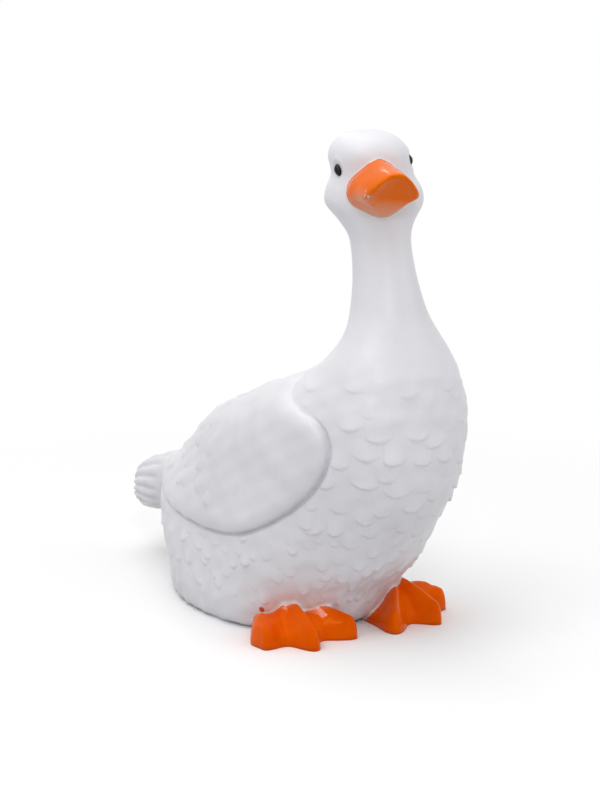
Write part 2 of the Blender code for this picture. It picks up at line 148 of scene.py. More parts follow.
# Feet: middle of each foot, its outline as (degrees from across, reach), its three toe ridges
# from the belly to the tip in the foot's own frame, heights
RIGHT_FOOT = (0.0405, 0.0635)
LEFT_FOOT = (0.0365, 0.0730)
FOOT_OUTLINE = (
    (-60, 0.0220),
    (-25, 0.0245),
    (-8, 0.0275),
    (6, 0.0330),
    (20, 0.0352),
    (28, 0.0374),
    (34, 0.0345),
    (42, 0.0290),
    (50, 0.0270),
    (58, 0.0285),
    (67, 0.0342),
    (73, 0.0386),
    (78, 0.0398),
    (83, 0.0374),
    (91, 0.0305),
    (100, 0.0270),
    (109, 0.0290),
    (117, 0.0370),
    (123, 0.0432),
    (128, 0.0446),
    (134, 0.0415),
    (150, 0.0300),
    (180, 0.0240),
    (240, 0.0220),
    (300, 0.0220),
)
TOES = (
    ((0.0220, -0.0050), (0.0330, 0.0176)),
    ((0.0050, 0.0075), (0.0083, 0.0389)),
    ((-0.0075, 0.0150), (-0.0275, 0.0351)),
)
TOE_HALF = 0.0098
TOE_RISE = 0.0076
FOOT_EDGE = 0.0076
FOOT_TOP = 0.0188
FOOT_RING = 120
# From the floor up and in: share of the outline, share of the height
FOOT_SIDE = ((1.0, 0.0), (0.995, 0.3), (0.975, 0.65), (0.94, 0.92), (0.90, 1.0))
FOOT_INWARD = (0.80, 0.70, 0.60, 0.50, 0.40, 0.30, 0.20, 0.08)

# Wings: raised edge of the folded wing seen from the side, as (ahead, height)
WING_EDGE = (
    (0.064, 0.174),
    (0.074, 0.160),
    (0.085, 0.1525),
    (0.096, 0.1485),
    (0.107, 0.1455),
    (0.1145, 0.1385),
    (0.117, 0.1290),
    (0.1145, 0.1180),
    (0.107, 0.1055),
    (0.097, 0.0950),
    (0.084, 0.0845),
    (0.066, 0.0735),
    (0.044, 0.0645),
    (0.018, 0.0603),
    (-0.010, 0.0600),
    (-0.040, 0.0620),
    (-0.070, 0.0670),
    (-0.105, 0.0760),
)
WING_RISE = 0.0050
WING_ROUND = 0.0095
WING_GROOVE = 0.0022
GROOVE_WIDTH = 0.0022
WING_REAR_SHARE = 0.3
RELIEF_FLOOR = 0.004

# Where the wing's relief grows or dies away, each as (none, full)
WING_SPINE = (0.004, 0.026)
WING_FLOOR = (0.020, 0.040)
WING_SHOULDER = (0.172, 0.142)
WING_GROOVE_TOP = (0.150, 0.135)
WING_TAIL = (-0.115, -0.085)
WING_FULL = (-0.100, -0.010)

# Feathers of breast and flanks: rows of overlapping tongues, wound round an upright axis
FEATHER_PITCH = 0.0178
FEATHER_ROW = 0.0112
FEATHER_RISE = 0.0027
STEP_WIDTH = 0.0018
FEATHER_TOP = 0.170
FEATHER_AXIS = 0.045
FEATHER_RADIUS = 0.085
ROW_WAVE = 0.0016
WAVE_LENGTH = 0.067
FAINT_SHARE = 0.40
TONGUE_HALF = 0.46
TONGUE_DEPTH = 0.75
TONGUE_LENGTH = 1.2
TONGUE_SLOPE = 1.3
UNEVEN_ACROSS, UNEVEN_DOWN, UNEVEN_WIDTH, UNEVEN_RISE = 0.26, 0.42, 0.09, 0.47
SCRAMBLE = (12.9898, 78.233, 43758.5453)
FEATHERS_GROW = (0.000, 0.008)
FEATHERS_STRONG = (0.010, 0.050)
FEATHERS_OFF_WING = (0.001, 0.004)
FEATHERS_OFF_TAIL = (-0.115, -0.050)

# Smaller rough tufts on the belly
TUFT_PITCH = 0.0150
TUFT_ROW = 0.0100
TUFT_RISE = 0.0019
TUFTS_FROM = (0.078, 0.056)
TUFTS_END = (0.010, 0.020)

# Feathers on the rear of the wings, running back and down
WING_FEATHER = 0.0175
WING_FEATHER_RISE = 0.0017
WING_FEATHER_SLANT = math.radians(24)
WING_FEATHERS = (0.050, -0.020)

# Ridges along the upper side of the tail
TAIL_RIDGES = 24
RIDGE_RISE = 0.0010
RIDGE_AXIS = 0.040
RIDGES_TOP = (0.034, 0.042)
RIDGES_FROM = (0.102, 0.114)


def eased(value, none, full):
    """Ease from 0 at none to 1 at full."""
    t = np.clip((value - none) / (full - none), 0, 1)
    return t * t * (3 - 2 * t)


def spline(rows, steps):
    """Points of a Catmull-Rom curve through rows, steps to each span."""
    rows = np.array(rows, float)
    padded = np.vstack([2 * rows[0] - rows[1], rows, 2 * rows[-1] - rows[-2]])
    made = []
    for a, b, c, d in zip(padded, padded[1:], padded[2:], padded[3:]):
        for t in np.arange(steps) / steps:
            square, cube = 2 * a - 5 * b + 4 * c - d, 3 * b - a - 3 * c + d
            made.append(0.5 * (2 * b + (c - a) * t + square * t**2 + cube * t**3))
    made.append(rows[-1])
    return np.array(made)


def turned(points, angle):
    """Turn (across, ahead) pairs to the duck's right."""
    across, ahead = points[..., 0], points[..., 1]
    c, s = math.cos(angle), math.sin(angle)
    return np.stack([across * c - ahead * s, across * s + ahead * c], -1)


def placed_on_head(points):
    """Carry rings from the head's own frame to the statue's."""
    return np.dstack([turned(points[..., :2], HEAD_TURN) + HEAD_CENTRE, points[..., 2]])


def leaned(points):
    """Lean everything above the throat towards the duck's right."""
    points = points.copy()
    height = points[..., 2]
    points[..., 0] -= eased(height, *LEAN_GROWS) * (height - LEAN_PIVOT) * math.tan(HEAD_LEAN)
    return points


def solid(name, rings):
    """Closed solid through rings of equal length, each end closed to its middle."""
    rows, count = rings.shape[:2]
    points = [tuple(p) for p in rings.reshape(-1, 3)] + [tuple(rings[0].mean(0)), tuple(rings[-1].mean(0))]
    faces = []
    for row in range(rows - 1):
        for k in range(count):
            n = (k + 1) % count
            low, high = row * count, (row + 1) * count
            faces.append((low + k, low + n, high + n, high + k))
    for k in range(count):
        n = (k + 1) % count
        faces.append((n, k, rows * count))
        faces.append(((rows - 1) * count + k, (rows - 1) * count + n, rows * count + 1))
    mesh = bpy.data.meshes.new(name)
    mesh.from_pydata([(across, -ahead, height) for across, ahead, height in points], [], faces)
    bm = bmesh.new()
    bm.from_mesh(mesh)
    bmesh.ops.recalc_face_normals(bm, faces=bm.faces[:])
    bm.to_mesh(mesh)
    bm.free()
    made = bpy.data.objects.new(name, mesh)
    bpy.context.scene.collection.objects.link(made)
    return made


def oval(angles, square):
    """Rounded-square unit ring."""
    c, s = np.cos(angles), np.sin(angles)
    return np.sign(c) * np.abs(c) ** (2 / square), np.sign(s) * np.abs(s) ** (2 / square)


def body():
    rows = spline(BODY_SECTIONS, ROWS_PER_SPAN)
    last = rows[-1]
    for k in range(1, CROWN_ROWS):
        lift = math.sin(math.pi / 2 * k / CROWN_ROWS)
        shrink = math.cos(math.pi / 2 * k / CROWN_ROWS) ** CROWN_FLATNESS
        row = last.copy()
        row[0] = last[0] + (HEIGHT - last[0]) * lift
        row[2:5] = last[2:5] * shrink
        rows = np.vstack([rows, row])
    angles = np.arange(BODY_RING) * 2 * math.pi / BODY_RING
    rings = []
    for height, middle, front, back, half, square_front, square_back, turn in rows:
        x, y = oval(angles, np.where(np.sin(angles) > 0, square_front, square_back))
        flat = turned(np.column_stack([half * x, np.where(y > 0, front, back) * y]), HEAD_TURN * turn)
        centre = np.array([HEAD_CENTRE[0] * turn, middle])
        rings.append(np.column_stack([flat + centre, np.full(BODY_RING, height)]))
    return solid("body", leaned(np.array(rings)))


def bill():
    rings = []
    for height, root, rim, reach, middle in spline(BILL_SECTIONS, 3):
        flank = reach - BILL_ROOT
        half = np.array(
            [
                (0, BILL_ROOT),
                (root * ROOT_SHARE, BILL_ROOT),
                (root, BILL_ROOT + WIDEST_SHARE * flank),
                ((root + rim) / 2, BILL_ROOT + TAPER_SHARE * flank),
                (rim, reach - RIM_BEVEL),
                (rim * RIM_SHARE, reach - RIM_ROUND),
                (rim / 2, (reach + 2 * middle) / 3),
                (0, middle),
            ]
        )
        left = half[1:-1][::-1] * (-1, 1)
        outline = np.vstack([half, left])
        steps = np.linspace(0, len(outline), BILL_RING, endpoint=False)
        whole = np.vstack([outline, outline[:1]])
        ring = np.column_stack([np.interp(steps, range(len(whole)), whole[:, k]) for k in (0, 1)])
        ring[:, 0] -= BILL_SKEW * (BILL_SKEW_END - ring[:, 1])
        rings.append(np.column_stack([ring, np.full(BILL_RING, height)]))
    return solid("bill", leaned(placed_on_head(np.array(rings))))


def tail():
    angles = np.arange(TAIL_RING) * 2 * math.pi / TAIL_RING
    rings = []
    for ahead, height, half_width, half_height in spline(TAIL_SECTIONS, 6):
        x, y = oval(angles, TAIL_SQUARENESS)
        rings.append(np.column_stack([half_width * x, np.full(TAIL_RING, ahead), height + half_height * y]))
    return solid("tail", np.array(rings))


def distance_to_run(points, start, end):
    """Distance from flat points to the straight run from start to end."""
    start, way = np.array(start), np.array(end) - start
    t = np.clip(((points - start) @ way) / (way @ way), 0, 1)
    return np.linalg.norm(points - start - t[:, None] * way, axis=1)


def foot(side):
    angles = np.arange(FOOT_RING) * 2 * math.pi / FOOT_RING + math.radians(FOOT_OUTLINE[0][0])
    table = spline(FOOT_OUTLINE, 6)
    reach = np.interp(np.degrees(angles), table[:, 0], table[:, 1])
    outline = np.column_stack([np.cos(angles), np.sin(angles)]) * reach[:, None]
    middle = np.array(LEFT_FOOT if side > 0 else RIGHT_FOOT)
    rim = FOOT_SIDE[-1][0]
    rings = []
    for share, lift in FOOT_SIDE + tuple((share, 1.0) for share in FOOT_INWARD):
        flat = outline * share
        ridge = np.max([np.clip(1 - distance_to_run(flat, *toe) / TOE_HALF, 0, 1) for toe in TOES], 0)
        inward = max(0, 1 - share / rim) / (1 - FOOT_INWARD[-2] / rim)
        top = FOOT_EDGE + (FOOT_TOP - FOOT_EDGE) * min(inward, 1) + TOE_RISE * ridge
        height = top * lift if lift else np.full(FOOT_RING, -BASE_SINK)
        rings.append(np.column_stack([(middle + flat) * (side, 1), height]))
    return solid("foot", np.array(rings))


def noise(number, salt):
    """Repeatable unevenness between -1 and 1."""
    value = np.sin(number * SCRAMBLE[0] + salt * SCRAMBLE[1]) * SCRAMBLE[2]
    return 2 * (value - np.floor(value)) - 1


def feathers(across, down, pitch, row_height):
    """Height, 0 to 1, of overlapping tongues whose tips point down."""
    result = np.zeros_like(across)
    for above in (2, 1, 0, -1):
        row = np.floor(down / row_height) - above
        shift = 0.5 * np.mod(row, 2)
        column = np.floor(across / pitch - shift + 0.5)
        code = row * 37 + column
        middle = (column + shift + UNEVEN_ACROSS * noise(code, 1)) * pitch
        tip = (row + 2 + UNEVEN_DOWN * noise(code, 2)) * row_height
        half = pitch * (TONGUE_HALF + UNEVEN_WIDTH * noise(code, 3))
        side = np.clip((across - middle) / half, -1, 1)
        inward = tip - row_height * TONGUE_DEPTH * (1 - np.sqrt(1 - side**2)) - down
        rising = np.clip(1 - inward / (TONGUE_LENGTH * row_height), 0, 1) ** TONGUE_SLOPE
        full = 1 - UNEVEN_RISE * (1 - noise(code, 4))
        lift = rising * full * (1 - side**2) ** 2 * eased(inward, 0, STEP_WIDTH)
        result = np.maximum(result, lift)
    return result


def inside_distance(points, line):
    """Signed distance to the wing's edge in side view, positive on the wing."""
    behind, above = -LENGTH, HEIGHT
    loop = np.vstack([line, [(behind, line[-1][1]), (behind, above), (line[0][0], above)]])
    inside = np.zeros(len(points), bool)
    nearest = np.full(len(points), LENGTH)
    for k, (a, b) in enumerate(zip(loop, np.roll(loop, -1, 0))):
        if a[1] != b[1]:
            between = (a[1] > points[:, 1]) != (b[1] > points[:, 1])
            crossing = a[0] + (b[0] - a[0]) * (points[:, 1] - a[1]) / (b[1] - a[1])
            inside ^= between & (points[:, 0] < crossing)
        if k < len(line) - 1:
            nearest = np.minimum(nearest, distance_to_run(points, a, b))
    return np.where(inside, nearest, -nearest)


def wing_relief(points, wing):
    """Raised plate of the folded wing with a groove round it, and feathers on its rear."""
    across, ahead, height = points.T
    flank = eased(np.abs(across), *WING_SPINE) * eased(height, *WING_FLOOR)
    flank = flank * eased(height, *WING_SHOULDER) * eased(ahead, *WING_TAIL)
    plate = np.sqrt(1 - (1 - np.clip(wing / WING_ROUND, 0, 1)) ** 2)
    groove = np.exp(-((wing / GROOVE_WIDTH) ** 2)) * (wing < 0) * eased(height, *WING_GROOVE_TOP)
    fullness = WING_REAR_SHARE + (1 - WING_REAR_SHARE) * eased(ahead, *WING_FULL)
    c, s = math.cos(WING_FEATHER_SLANT), math.sin(WING_FEATHER_SLANT)
    down = -ahead * c - height * s
    girth = height * c - ahead * s + WIDTH / 2 - np.abs(across)
    rear = eased(wing, 0.5 * WING_ROUND, 1.5 * WING_ROUND) * eased(ahead, *WING_FEATHERS)
    tongues = WING_FEATHER_RISE * feathers(girth, down, WING_FEATHER, WING_FEATHER)
    return flank * (fullness * (WING_RISE * plate - WING_GROOVE * groove) + rear * tongues)


def breast_relief(points, wing):
    """Feathers of breast and flanks, faint at the top, and smaller tufts on the belly."""
    across, ahead, height = points.T
    around = np.arctan2(across, ahead - FEATHER_AXIS) * FEATHER_RADIUS
    fall = FEATHER_TOP - height
    down = fall + ROW_WAVE * np.sin(around * 2 * math.pi / WAVE_LENGTH)
    strength = FAINT_SHARE + (1 - FAINT_SHARE) * eased(fall, *FEATHERS_STRONG)
    tufted = eased(height, *TUFTS_FROM)
    large = (1 - tufted) * strength * eased(fall, *FEATHERS_GROW)
    made = FEATHER_RISE * large * feathers(around, down, FEATHER_PITCH, FEATHER_ROW)
    small = tufted * eased(height, *TUFTS_END)
    made = made + TUFT_RISE * small * feathers(around, down, TUFT_PITCH, TUFT_ROW)
    return made * eased(-wing, *FEATHERS_OFF_WING) * eased(ahead, *FEATHERS_OFF_TAIL)


def tail_relief(points):
    """Ridges running the length of the tail."""
    across, ahead, height = points.T
    turn = np.arctan2(across, height - RIDGE_AXIS)
    ridge = 2 * np.abs(np.sin(turn * TAIL_RIDGES / 2))
    return RIDGE_RISE * ridge * eased(height, *RIDGES_TOP) * eased(-ahead, *RIDGES_FROM)


def relief(points):
    """How far the surface stands out at each point (across, ahead, height)."""
    wing = inside_distance(points[:, 1:], spline(WING_EDGE, 6))
    shapes = wing_relief(points, wing) + breast_relief(points, wing) + tail_relief(points)
    return shapes * eased(points[:, 2], 0, RELIEF_FLOOR)


# Soft unevenness of the modelling, and upright folds on the rump
LUMP_SIZE = 0.021
LUMP_WAVES = 7
GOLDEN_TURN = 2.4
LUMP_RISE = 0.00032
LUMPS_TOP = (0.190, 0.160)
FOLD_SIZE = 0.012
FOLD_RISE = 0.00035
FOLD_STRETCH = 0.2
FOLDS_FROM = (0.062, 0.050)
FOLDS_BACK = (0.030, -0.010)

# Narrow crease under the front edge of the wing: how far off the edge, half width and depth
CREASE_OUT, CREASE_HALF, CREASE_DEPTH = 0.0009, 0.0012, 0.0017
CREASE_AHEAD = (0.020, 0.070)
CREASE_TOP = (0.150, 0.138)

# Eyes, in the head's own frame, by side: -1 for the duck's right
EYES = {-1: (-0.0228, 0.0070, 0.2880), 1: (0.0208, 0.0055, 0.2925)}
EYE_HALVES = (0.0028, 0.0029, 0.0038)
EYE_RING = 28
EYE_ROWS = 23
EYE_END = 0.98
EYE_POINT = 0.75
EYE_LEAN = 0.25

# Hollow round each eye and the lid at its edge, placed and spread in shares of LID_HALVES
LID_HALVES = (0.0048, 0.0042, 0.0056)
LID_RISE, LID_AT, LID_SPREAD = 0.0004, 1.25, 0.22
HOLLOW_DEPTH, HOLLOW_REACH = 0.0007, 0.9

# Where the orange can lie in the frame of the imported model, and the farthest distance worked out
BILL_ABOVE, BILL_BEFORE = 0.255, -0.095
FEET_BELOW, FEET_BEFORE = 0.045, -0.020
FAR = 0.02

# The feet carry no relief: how deep inside their orange it has died away, as (full, none)
RELIEF_OFF_FEET = (-0.002, 0.0005)

# Depths inside the orange, kept on the mesh in millimetres, and from where a face is all orange
ORANGE_BORDERS = {"bill_paint": 0.8, "feet_paint": 3.0}


def lumps(points, size):
    """Soft unevenness, about -1 to 1, with swellings about one size apart."""
    total = 0
    for k in range(LUMP_WAVES):
        level = 1 - (2 * k + 1) / LUMP_WAVES
        flat, turn = math.sqrt(1 - level**2), GOLDEN_TURN * k
        way = np.array([flat * math.cos(turn), flat * math.sin(turn), level])
        total = total + np.sin(points @ way * 2 * math.pi / size * (1 + k / LUMP_WAVES) + k * k)
    return total / math.sqrt(LUMP_WAVES)


def eye(side):
    """Almond with pointed ends, leaning back at the top."""
    turns = np.arange(EYE_RING) * 2 * math.pi / EYE_RING
    rings = []
    for level in np.linspace(-EYE_END, EYE_END, EYE_ROWS):
        wide = (1 - level**2) ** EYE_POINT
        ahead = wide * np.sin(turns) - EYE_LEAN * level
        unit = np.column_stack([wide * np.cos(turns), ahead, np.full(EYE_RING, level)])
        rings.append(np.array(EYES[side]) + unit * EYE_HALVES)
    return solid("eye", leaned(placed_on_head(np.array(rings))))


def eye_hollows(points):
    """Shallow hollow round each eye with a soft lid at its edge."""
    made = 0
    for place in EYES.values():
        centre = leaned(placed_on_head(np.array([[place]])))[0, 0]
        away = np.linalg.norm((points - centre) / LID_HALVES, axis=1)
        lid = np.exp(-(((away - LID_AT) / LID_SPREAD) ** 2))
        made = made + LID_RISE * lid - HOLLOW_DEPTH * np.exp(-((away / HOLLOW_REACH) ** 4))
    return made


def wing_crease(points):
    """Narrow crease where the front of the wing stands off the breast."""
    off_edge = inside_distance(points[:, 1:], spline(WING_EDGE, 6)) + CREASE_OUT
    along = eased(points[:, 1], *CREASE_AHEAD) * eased(points[:, 2], *CREASE_TOP)
    return -CREASE_DEPTH * along * np.exp(-((off_edge / CREASE_HALF) ** 2))


def modelling_relief(points):
    """Soft lumps all over the body, upright folds on the rump, and the eyes' and wings' hollows."""
    height = points[:, 2]
    soft = LUMP_RISE * eased(height, *LUMPS_TOP) * lumps(points, LUMP_SIZE)
    folds = eased(height, *FOLDS_FROM) * eased(points[:, 1], *FOLDS_BACK)
    folded = FOLD_RISE * folds * lumps(points * (1, 1, FOLD_STRETCH), FOLD_SIZE)
    return soft + folded + eye_hollows(points) + wing_crease(points)


def joined(pieces):
    base = pieces[0]
    bm = bmesh.new()
    for piece in pieces:
        bm.from_mesh(piece.data)
    bm.to_mesh(base.data)
    bm.free()
    for piece in pieces[1:]:
        bpy.data.objects.remove(piece)
    return base


def applied(target, kind, **settings):
    """Add a modifier, keep its result as the mesh."""
    modifier = target.modifiers.new(kind.lower(), kind)
    for key, value in settings.items():
        setattr(modifier, key, value)
    graph = bpy.context.evaluated_depsgraph_get()
    mesh = bpy.data.meshes.new_from_object(target.evaluated_get(graph))
    target.modifiers.clear()
    target.data = mesh


def coordinates(mesh):
    points = np.empty(len(mesh.vertices) * 3)
    mesh.vertices.foreach_get("co", points)
    return points.reshape(-1, 3)


def tree_of(target):
    corners = [tuple(vertex.co) for vertex in target.data.vertices]
    return BVHTree.FromPolygons(corners, [tuple(face.vertices) for face in target.data.polygons])


def nearness(points, tree, chosen):
    """Distance from each chosen point to a solid's surface, and FAR for the rest."""
    found = np.full(len(points), FAR)
    for k in np.nonzero(chosen)[0]:
        found[k] = min(FAR, tree.find_nearest(points[k])[3])
    return found


def paint_depths(points, trees):
    """How far each point lies inside the orange of the bill and of the feet, below 0 outside it."""
    by_bill = (points[:, 2] > BILL_ABOVE) & (points[:, 1] < BILL_BEFORE)
    by_feet = (points[:, 2] < FEET_BELOW) & (points[:, 1] < FEET_BEFORE)
    depths = []
    for chosen, solids in ((by_bill, (trees["bill"],)), (by_feet, trees["feet"])):
        body_gap = nearness(points, trees["body"], chosen)
        own_gap = np.min([nearness(points, tree, chosen) for tree in solids], 0)
        depths.append(np.where(chosen, body_gap - own_gap, -FAR))
    return depths


def carve(target, trees):
    """Push every point out by the relief, apart from those on the feet."""
    mesh = target.data
    points = coordinates(mesh)
    normals = np.empty(len(points) * 3)
    mesh.vertex_normals.foreach_get("vector", normals)
    share = 1 - eased(paint_depths(points, trees)[1], *RELIEF_OFF_FEET)
    seen = points * (1, -1, 1)
    lift = relief(seen) + modelling_relief(seen)
    points += normals.reshape(-1, 3) * (share * lift)[:, None]
    mesh.vertices.foreach_set("co", points.ravel())
    mesh.update()


def flat_base(target):
    """Cut the casting off level with the floor."""
    bm = bmesh.new()
    bm.from_mesh(target.data)
    everything = bm.verts[:] + bm.edges[:] + bm.faces[:]
    floor = {"plane_co": (0, 0, 0), "plane_no": (0, 0, 1)}
    bmesh.ops.bisect_plane(bm, geom=everything, dist=1e-6, clear_inner=True, **floor)
    rim = [edge for edge in bm.edges if edge.is_boundary]
    bmesh.ops.triangle_fill(bm, edges=rim, use_beauty=True)
    bmesh.ops.triangulate(bm, faces=bm.faces[:])
    bmesh.ops.recalc_face_normals(bm, faces=bm.faces[:])
    bm.to_mesh(target.data)
    bm.free()


def fit_to_frame(casting, others):
    """Scale and move everything by what brings the casting to the CAD box."""
    points = coordinates(casting.data)
    low, high = points.min(0), points.max(0)
    box_low, box_high = (np.array(corner) for corner in CAD_BOX)
    scale = (box_high - box_low) / (high - low)
    for target in (casting, *others):
        moved = (coordinates(target.data) - low) * scale + box_low
        target.data.vertices.foreach_set("co", moved.ravel())
        target.data.update()


def keep_depths(target, trees):
    """Store the depths inside the orange on the mesh, in millimetres, for its materials."""
    mesh = target.data
    for name, depth in zip(ORANGE_BORDERS, paint_depths(coordinates(mesh), trees)):
        layer = mesh.attributes.new(name, "FLOAT", "POINT")
        layer.data.foreach_set("value", depth * 1000)


# Paints, from their 0 to 255 values by linear()
WHITE_PAINT = (232, 232, 237)
WHITE_DULL = (224, 223, 227)
ORANGE_PAINT = (240, 100, 2)
ORANGE_DEEP = (228, 80, 0)
ORANGE_BILL = (240, 112, 0)
# Pale salmon of the painted reflection and the painted sheen on the bill
PAINTED_SHEEN_ORANGE = (228, 164, 134)
# Tint of the overspray and the painted bounce light above the feet
BLUSH_AND_PAINTED_BOUNCE = (212, 174, 154)
DRIP = (192, 74, 14)
BLACK_PAINT = (5, 5, 6)
BLACK_WORN = (13, 13, 15)
WHITE = (1, 1, 1, 1)

# Roughness of each paint, as (least, most), and how much the orange and the black gleam
WHITE_ROUGH = (0.34, 0.44)
ORANGE_ROUGH = (0.11, 0.17)
BLACK_ROUGH = (0.08, 0.16)
ORANGE_GLEAM, ORANGE_TINT = 0.12, (1.0, 0.50, 0.10, 1)
BLACK_GLEAM = 0.25

# Noises: scales, ranges of their values that are used, and the skin's unevenness as (strength, metres)
PATCH_SCALE, EDGE_SCALE, SPRAY_AND_BOUNCE_SCALE = 16.0, 160.0, 75.0
ORANGE_SCALE, REFLECTION_SCALE, PAINTED_SHEEN_SCALE, SPECK_SCALE = 45.0, 90.0, 120.0, 900.0
GRAIN_SCALE, SKIN_SCALE = 700.0, 260.0
BLACK_SCALE, GLEAM_SCALE = 500.0, 300.0
NOISE_MIDDLE, WHITE_PATCHES, ORANGE_PATCHES = (0.3, 0.7), (0.35, 0.7), (0.35, 0.75)
GRAIN_BUMP, SKIN_BUMP = (0.12, 0.0002), (0.25, 0.0004)
ORANGE_SMOOTHER = 0.6

# Edges of the orange, in millimetres of depth: place of the feet's edge, wander and softness of both
FEET_EDGE = 1.6
BILL_WANDER, FEET_WANDER = 0.16, 0.72
BILL_SOFT, FEET_SOFT = 0.12, 0.2

# Orange tint above the feet, partly overspray and partly painted bounce light from the feet: reach in
# millimetres of depth, how fast it fades, its patches and their shares
SPRAY_AND_BOUNCE_REACH, SPRAY_AND_BOUNCE_START = -10.0, -0.3
SPRAY_AND_BOUNCE_FADE = 1.9
SPRAY_AND_BOUNCE_PATCHES, SPRAY_AND_BOUNCE_SHARES = (0.40, 0.68), (0.05, 1.0)

# Coat of the bill, by height: where it starts, where it turns paler downwards as a painted reflection of the
# white floor, how unevenly and how much
BILL_FROM = (0.2, 0.21)
BILL_SHARE = 0.8
BILL_PAINTED_REFLECTION = (0.2750, 0.2630)
REFLECTION_UNEVEN = 0.0012
REFLECTION_SHARE = 0.95

# Painted sheen, a pale patch near the bill's rim, specks on the rim, and the drop of orange above the right
# foot: place, reach, shares
PAINTED_SHEEN_AT, PAINTED_SHEEN_REACH, PAINTED_SHEEN_SHARES = (-0.0296, -0.1205, 0.2738), (0.0110, 0.0020), (0.3, 0.8)
SPECKS_AT, SPECKS_REACH, SPECK_EDGE = (-0.0318, -0.1266, 0.2775), (0.0050, 0.0030), (0.60, 0.66)
DRIP_AT, DRIP_REACH = (-0.0526, -0.0552, 0.0162), (0.0023, 0.0016)


class Nodes:
    """Short way to build the nodes of a material or of the world."""

    def __init__(self, owner):
        owner.use_nodes = True
        self.owner = owner
        self.tree = owner.node_tree
        self.shader = self.tree.nodes.get("Principled BSDF")

    def add(self, kind, inputs=None, **settings):
        node = self.tree.nodes.new(kind)
        for key, value in settings.items():
            setattr(node, key, value)
        for key, value in (inputs or {}).items():
            self.put(node.inputs[key], value)
        return node

    def put(self, socket, value):
        if isinstance(value, bpy.types.NodeSocket):
            self.tree.links.new(value, socket)
        else:
            socket.default_value = value

    def finish_with(self, **values):
        """Set the shader's sockets, named with _ for spaces."""
        for key, value in values.items():
            self.put(self.shader.inputs[key.replace("_", " ")], value)
        return self.owner

    def place(self):
        return self.add("ShaderNodeTexCoord").outputs["Object"]

    def distance(self, point):
        ends = {0: self.place(), 1: point}
        return self.add("ShaderNodeVectorMath", ends, operation="DISTANCE").outputs["Value"]

    def noise(self, scale, detail=3.0, roughness=0.5):
        named = {"Scale": scale, "Detail": detail, "Roughness": roughness, "Vector": self.place()}
        return self.add("ShaderNodeTexNoise", named).outputs["Fac"]

    def math(self, operation, a, b=0.0):
        return self.add("ShaderNodeMath", {0: a, 1: b}, operation=operation).outputs[0]

    def span(self, value, low, high, out_low=0.0, out_high=1.0):
        named = {"Value": value, "From Min": low, "From Max": high, "To Min": out_low, "To Max": out_high}
        return self.add("ShaderNodeMapRange", named, clamp=True).outputs["Result"]

    def spread(self, noise, low, high):
        """Stretch the middle range of a noise to run from low to high."""
        return self.span(noise, *NOISE_MIDDLE, low, high)

    def times(self, a, b):
        return self.math("MULTIPLY", a, b)

    def mix(self, share, a, b):
        """Blend two colours."""
        node = self.add("ShaderNodeMix", data_type="RGBA")
        colours = [socket for socket in node.inputs if socket.type == "RGBA"]
        for socket, value in zip((node.inputs[0], *colours), (share, a, b)):
            self.put(socket, value)
        return next(socket for socket in node.outputs if socket.type == "RGBA")

    def blend(self, share, a, b):
        """Blend two numbers."""
        node = self.add("ShaderNodeMix", data_type="FLOAT")
        numbers = [socket for socket in node.inputs if socket.type == "VALUE"]
        for socket, value in zip(numbers, (share, a, b)):
            self.put(socket, value)
        return node.outputs[0]

    def bump(self, height, strength, distance, onto=None):
        node = self.add("ShaderNodeBump", {"Height": height, "Strength": strength, "Distance": distance})
        if onto is not None:
            self.put(node.inputs["Normal"], onto)
        return node.outputs["Normal"]

    def white_room_rays(self):
        """1 for the rays that see the white room: from the camera, by gloss or through glass."""
        ray = self.add("ShaderNodeLightPath").outputs
        seen = self.math("MAXIMUM", ray["Is Camera Ray"], ray["Is Glossy Ray"])
        return self.math("MAXIMUM", seen, ray["Is Transmission Ray"])


def linear(colour):
    """Colour for a socket from its 0 to 255 values."""
    values = [v / 255 for v in colour]
    return (*(v / 12.92 if v <= 0.04045 else ((v + 0.055) / 1.055) ** 2.4 for v in values), 1)


def paint_masks(n):
    """Share of orange on the bill and on the feet, and the depth inside the feet's orange."""
    wander = n.spread(n.noise(EDGE_SCALE, 2.0), -1.0, 1.0)
    bill = n.add("ShaderNodeAttribute", attribute_name="bill_paint").outputs["Fac"]
    feet = n.add("ShaderNodeAttribute", attribute_name="feet_paint").outputs["Fac"]
    bill_edge = n.math("ADD", bill, n.times(wander, BILL_WANDER))
    feet_edge = n.math("ADD", feet, n.times(wander, FEET_WANDER))
    on_bill = n.span(bill_edge, -BILL_SOFT, BILL_SOFT)
    on_feet = n.span(feet_edge, FEET_EDGE - FEET_SOFT, FEET_EDGE + FEET_SOFT)
    return on_bill, on_feet, feet


